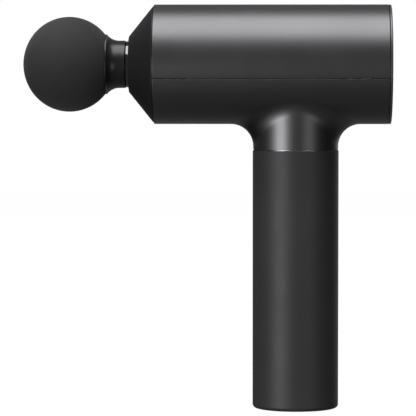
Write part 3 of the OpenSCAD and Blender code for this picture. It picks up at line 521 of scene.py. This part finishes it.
# The ball is firm closed-cell foam, cut flat behind and bonded to the lip. Its skin is
# dull, with a grain of small open cells.
ball_x = lip_x - 18.28                         # the ball's middle
half_l = ball_x - ball_low[0]
half_w = ball_high[1]
cut = math.acos((ball_x - lip_x) / half_l)
sweep_angle = np.linspace(0, cut, 72)
skin = np.stack([ball_x - half_l * np.cos(sweep_angle), half_w * np.sin(sweep_angle)], axis=1)
cavity_r = spigot_r + 0.02
cavity_x = low[0] - 0.02
cavity = rounded([tuple(skin[-1]), (lip_x, cavity_r), (cavity_x, cavity_r), (cavity_x, 0)],
                 [0, 0.1, 1.0, 0], closed=False)
ball_foam = finish("ball_foam", (0.012, 0.012, 0.0122), 0.85, grain_size=0.00045, grain_depth=0.06,
                   drift=0.05, tone=0.25, Specular_IOR_Level=0.2, Sheen_Weight=0.03,
                   Sheen_Roughness=0.5)
ball = make_piece("ball", [(about_barrel(np.concatenate([skin, cavity[1:]])), False)],
                  ball_foam, "ball_foam", "head", "foam_ball")


# ---- Grip --------------------------------------------------------------------------------
# A silicone sleeve stretched over the handle's core, dull and soft to the touch, with a
# rounded top edge under the seam and a rounded foot.

def about_handle(profile, turns=TURNS):
    """A profile of (radius, z) points turned round the handle's axis."""
    angle = np.linspace(0, 2 * math.pi, turns, endpoint=False)
    z = np.broadcast_to(profile[:, 1:], (len(profile), turns))
    return np.stack([profile[:, :1] * np.cos(angle), profile[:, :1] * np.sin(angle), z], axis=-1)


low, high = (np.array(corner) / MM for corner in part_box("grip_sleeve"))
grip_r, grip_h = high[0], high[2]
core_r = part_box("handle_core")[1].x / MM
sleeve = rounded([(17.6, 0), (grip_r, 0), (grip_r, grip_h), (core_r + 0.05, grip_h), (core_r + 0.05, 1.1),
                  (17.6, 1.1)], [0.15, 2.0, 0.5, 0.1, 0.1, 0.1], steps=8)
grip_silicone = finish("grip_silicone", (0.017, 0.017, 0.0173), 0.5, grain_size=0.00035, grain_depth=0.012,
                       drift=0.05, tone=0.1, Specular_IOR_Level=0.18)
make_piece("grip", [(about_handle(sleeve), True)], grip_silicone, "grip_silicone", "housing", "grip_sleeve")


# ---- Rear cap ----------------------------------------------------------------------------
# A black moulded cap closes the barrel. Its face is very slightly domed, with a groove for
# the ring of light and a round opening for the button, and three posts inside carry the board.

low, high = (np.array(corner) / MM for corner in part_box("rear_cap"))
cap_x0, cap_x = low[0], high[0]
rim_x = shell_x1 + 0.24
light_low, light_high = (np.array(corner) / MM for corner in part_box("light_ring"))
light_in, light_out = light_high[1] - 1.3, light_high[1]
button_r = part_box("speed_button")[1].y / MM - 1.2
plate_x = cap_x - 2.6
cap = rounded([(cap_x0, bore_r - 0.1), (rim_x, bore_r - 0.1), (rim_x, barrel_r), (cap_x - 0.4, barrel_r),
               (cap_x - 0.1, light_out + 0.05), (cap_x - 1.4, light_out + 0.05),
               (cap_x - 1.4, light_in - 0.05), (cap_x - 0.08, light_in - 0.05), (cap_x, button_r + 0.35),
               (plate_x, button_r + 0.35), (plate_x, bore_r - 2.2), (cap_x0, bore_r - 2.2)],
              [0.3, 0.1, 0.15, 0.9, 0.12, 0.05, 0.05, 0.12, 0.3, 0.2, 0.3, 0.3])


def post(low_x, high_x, radius, hole, y, z, turns=32):
    """A round post along X with a blind hole in its low end."""
    profile = rounded([(low_x, hole), (low_x, radius), (high_x, radius), (high_x, 0), (low_x + 3, 0),
                       (low_x + 3, hole)], [0.1, 0.2, 0, 0, 0, 0.1], steps=3)
    return about_barrel(profile, turns) + np.array([0, y, z])


panel_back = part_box("panel_board")[1].x / MM
posts = [(post(panel_back, plate_x + 0.5, 2.2, 0.9, 15 * math.cos(a), 15 * math.sin(a)), True)
         for a in np.radians([90, 210, 330])]
cap_black = finish("cap_black", (0.02, 0.02, 0.0205), 0.4, grain_size=0.00028, grain_depth=0.004,
                   drift=0.05, tone=0.08)
make_piece("rear_cap_face", [(about_barrel(cap), True)] + posts, cap_black, "cap_black",
           "housing", "rear_cap")

# The ring of light is a milky strip pressed into the groove.
light_profile = rounded([(light_low[0], light_in), (light_high[0], light_in), (light_high[0], light_out),
                         (light_low[0], light_out)], [0.1, 0.2, 0.2, 0.1])
light_diffuser = finish("light_diffuser", (0.62, 0.64, 0.66), 0.35, grain_depth=0.001, drift=0.04, tone=0.03)
make_piece("ring_of_light", [(about_barrel(light_profile), True)], light_diffuser, "light_diffuser",
           "housing", "light_ring")

# The button is a satin black disc with a shallow dish for the fingertip and a flange that
# keeps it behind the cap.
low, high = (np.array(corner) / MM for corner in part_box("speed_button"))
dish_r = 60
top = high[0]
reach = np.linspace(0, 1, 12)[:, None]
dish_edge = button_r - 0.6
dish_x = top - 0.6 + dish_r - np.sqrt(dish_r ** 2 - (dish_edge * reach) ** 2)
dish = np.concatenate([dish_x, dish_edge * reach], axis=1)
side_wall = rounded([tuple(dish[-1]), (top - 0.02, button_r), (low[0] + 1.8, button_r),
                     (low[0] + 1.8, button_r + 1.2), (low[0] + 0.5, button_r + 1.2), (low[0] + 0.5, 2.2),
                     (low[0], 2.2), (low[0], 0)], [0, 0.35, 0.15, 0.15, 0.15, 0.1, 0.15, 0], closed=False)
button_black = finish("button_black", (0.018, 0.018, 0.0185), 0.34, grain_depth=0.002, drift=0.05, tone=0.06)
make_piece("button_disc", [(about_barrel(np.concatenate([dish, side_wall[1:]])), False)], button_black,
           "button_black", "button", "speed_button")


# ---- Inside ------------------------------------------------------------------------------
# Everything within the shells keeps its designed shape and gets the finish of its slot.

FINISHES = {
    "seal_rubber": dict(colour=(0.02, 0.02, 0.02), rough=0.6, grain_depth=0.01),
    "cap_black": cap_black,
    "core_aluminium": dict(colour=(0.6, 0.6, 0.61), rough=0.32, metal=1.0, stretch=(1, 40),
                           grain_depth=0.002),
    "port_steel": dict(colour=(0.62, 0.62, 0.63), rough=0.25, metal=1.0, stretch=(1, 20), grain_depth=0.001),
    "board_green": dict(colour=(0.012, 0.09, 0.04), rough=0.3, grain_size=0.002, grain_depth=0.01, tone=0.3),
    "screw_steel": dict(colour=(0.55, 0.55, 0.56), rough=0.3, metal=1.0, grain_depth=0.004),
    "lead_red": dict(colour=(0.4, 0.02, 0.02), rough=0.42, grain_depth=0.006),
    "lead_yellow": dict(colour=(0.6, 0.42, 0.04), rough=0.42, grain_depth=0.006),
    "cell_wrap": dict(colour=(0.03, 0.13, 0.35), rough=0.28, stretch=(1, 15), grain_size=0.001,
                      grain_depth=0.01),
    "holder_white": dict(colour=(0.7, 0.7, 0.68), rough=0.45, grain_depth=0.006),
    "nickel_strip": dict(colour=(0.62, 0.6, 0.56), rough=0.28, metal=1.0, stretch=(30, 1), grain_depth=0.002),
    "cast_metal": dict(colour=(0.5, 0.51, 0.52), rough=0.42, metal=1.0, grain_size=0.0004, grain_depth=0.02),
    "bush_bronze": dict(colour=(0.55, 0.36, 0.16), rough=0.38, metal=1.0, grain_size=0.0002,
                        grain_depth=0.006),
    "damper_rubber": dict(colour=(0.018, 0.018, 0.018), rough=0.7, grain_depth=0.02),
    "bearing_steel": dict(colour=(0.66, 0.66, 0.67), rough=0.14, metal=1.0, grain_depth=0.0006),
    "stator_steel": dict(colour=(0.25, 0.26, 0.28), rough=0.4, metal=1.0, stretch=(40, 1), grain_depth=0.006),
    "winding_copper": dict(colour=(0.6, 0.23, 0.09), rough=0.25, metal=1.0, stretch=(1, 1), grain_size=0.0005,
                           grain_depth=0.03),
    "component_black": dict(colour=(0.02, 0.02, 0.02), rough=0.4, grain_depth=0.006),
    "ribbon_cream": dict(colour=(0.6, 0.57, 0.45), rough=0.4, grain_depth=0.004),
    "lens_white": dict(colour=(0.8, 0.8, 0.72), rough=0.2, grain_depth=0.001),
    "magnet_nickel": dict(colour=(0.5, 0.5, 0.5), rough=0.22, metal=1.0, grain_depth=0.001),
    "rotor_steel": dict(colour=(0.12, 0.12, 0.125), rough=0.35, metal=1.0, grain_depth=0.003),
    "crank_steel": dict(colour=(0.4, 0.4, 0.42), rough=0.3, metal=1.0, grain_depth=0.003),
    "cage_brass": dict(colour=(0.62, 0.45, 0.18), rough=0.25, metal=1.0, grain_depth=0.001),
    "rod_aluminium": dict(colour=(0.4, 0.41, 0.43), rough=0.33, metal=1.0, grain_depth=0.003),
    "plunger_polished": dict(colour=(0.08, 0.08, 0.081), rough=0.12, metal=1.0, grain_depth=0.0004,
                             grain_size=0.0002, stretch=(1, 1)),
    "clip_steel": dict(colour=(0.05, 0.05, 0.05), rough=0.4, metal=1.0, grain_depth=0.003),
    "ring_silicone": dict(colour=(0.3, 0.05, 0.03), rough=0.45, grain_depth=0.004),
}
record = frame["record"]
slots = {part["node"]: part["material_slot"] for part in record["subparts"]}
made = {}
for name, cad in frame["nodes"].items():
    if cad.hide_render:
        continue
    slot_name = slots[name]
    if slot_name not in made:
        spec = FINISHES[slot_name]
        made[slot_name] = finish(slot_name, **spec) if isinstance(spec, dict) else spec
    cad.data.materials.clear()
    cad.data.materials.append(made[slot_name])
